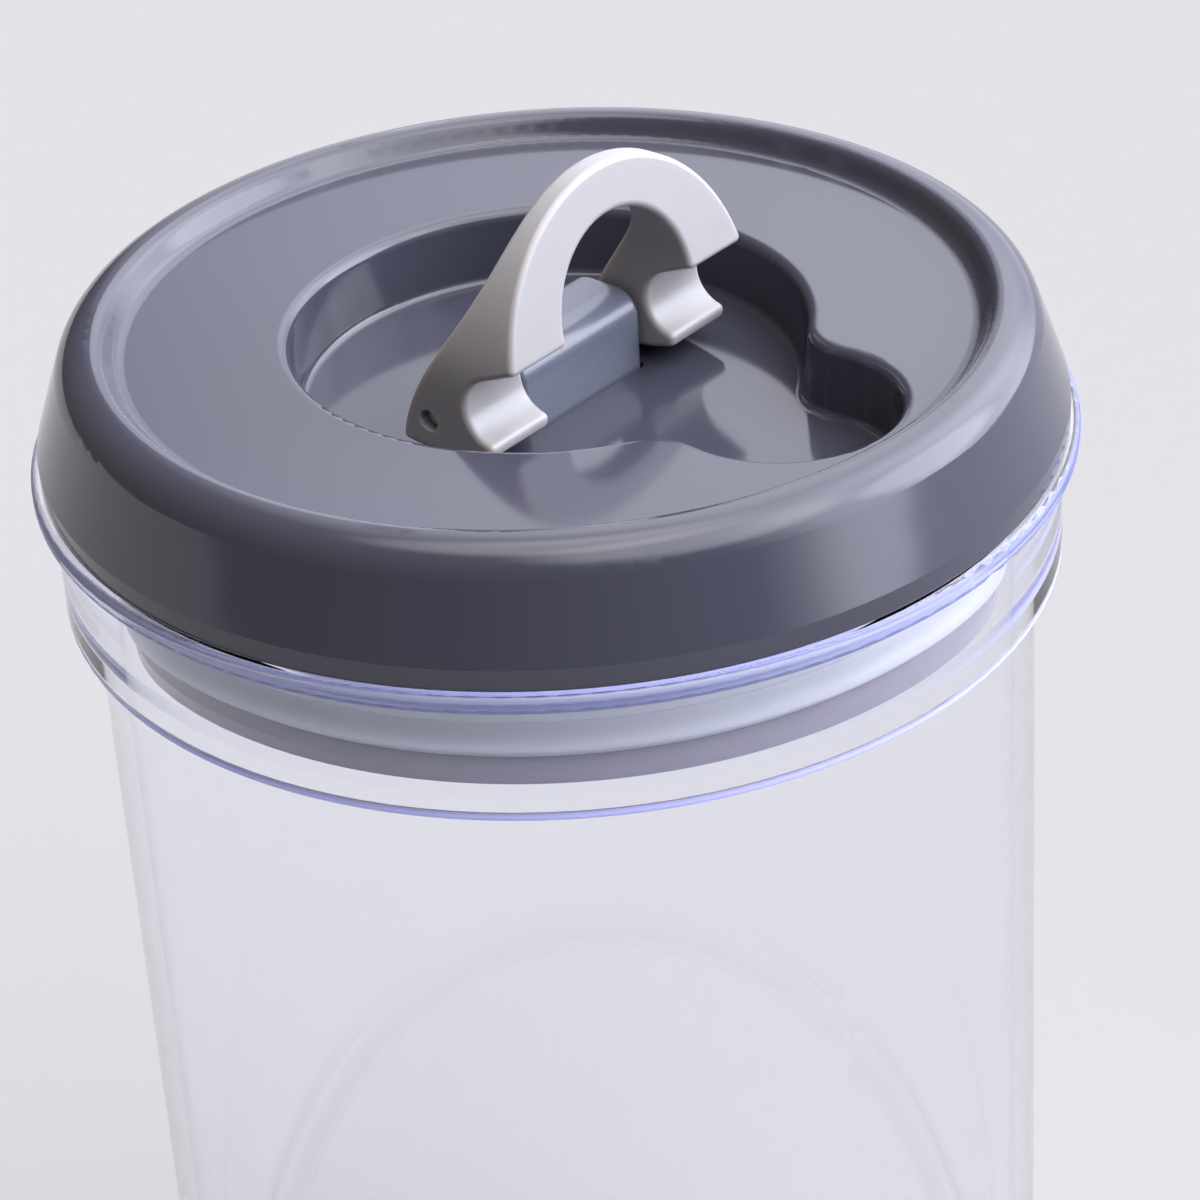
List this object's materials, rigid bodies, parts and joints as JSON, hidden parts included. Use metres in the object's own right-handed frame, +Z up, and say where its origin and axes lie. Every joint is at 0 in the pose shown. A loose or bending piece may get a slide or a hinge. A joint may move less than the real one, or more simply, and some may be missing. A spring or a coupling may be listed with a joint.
{
  "type": "lever-lid storage canister",
  "caption": "Clear round food canister with a lever lid: folding the arch handle down squeezes a soft ring against the wall and seals the jar.",
  "frame": {"origin": "middle of the base, on the surface that the canister stands on", "axes": "+Z up along the axis of the canister, -Y towards the lid's finger lobe, X along the handle's pivot pin"},
  "size_m": [0.119, 0.119, 0.2196],
  "materials": {
    "clear_acrylic": "clear, polished",
    "lid_grey": "glossy moulded",
    "carrier_grey": "moulded",
    "block_grey": "glossy moulded",
    "handle_pearl": "satin pearl",
    "soft_silicone": "smooth, slightly translucent",
    "pin_steel": "plain",
    "screw_steel": "plain"
  },
  "bodies": {
    "jar": {"canister": "clear_acrylic"},
    "lid": {"lid_cover": "lid_grey", "seal_carrier": "carrier_grey", "carrier_screws": "screw_steel", "seal_ring": "soft_silicone"},
    "plunger": {"lift_block": "block_grey", "pivot_pin": "pin_steel", "clamp_plate": "carrier_grey", "plate_screws": "screw_steel"},
    "lever": {"lever_handle": "handle_pearl"}
  },
  "joints": [
    {"name": "lid_lift", "type": "slide", "parent": "jar", "child": "lid", "axis": [0, 0, 1], "range_m": [0, 0.06]},
    {"name": "plunger_lift", "type": "slide", "parent": "lid", "child": "plunger", "axis": [0, 0, 1], "range_m": [0, 0.0053], "deforming": ["seal_ring"]},
    {"name": "lever_fold", "type": "hinge", "parent": "plunger", "child": "lever", "pos_m": [0, 0, 0.1947], "axis": [1, 0, 0], "range_deg": [0, 74]}
  ],
  "couplings": [
    {"joint": "plunger_lift", "follows": "lever_fold", "m_per_rad": 0.0037164}
  ]
}
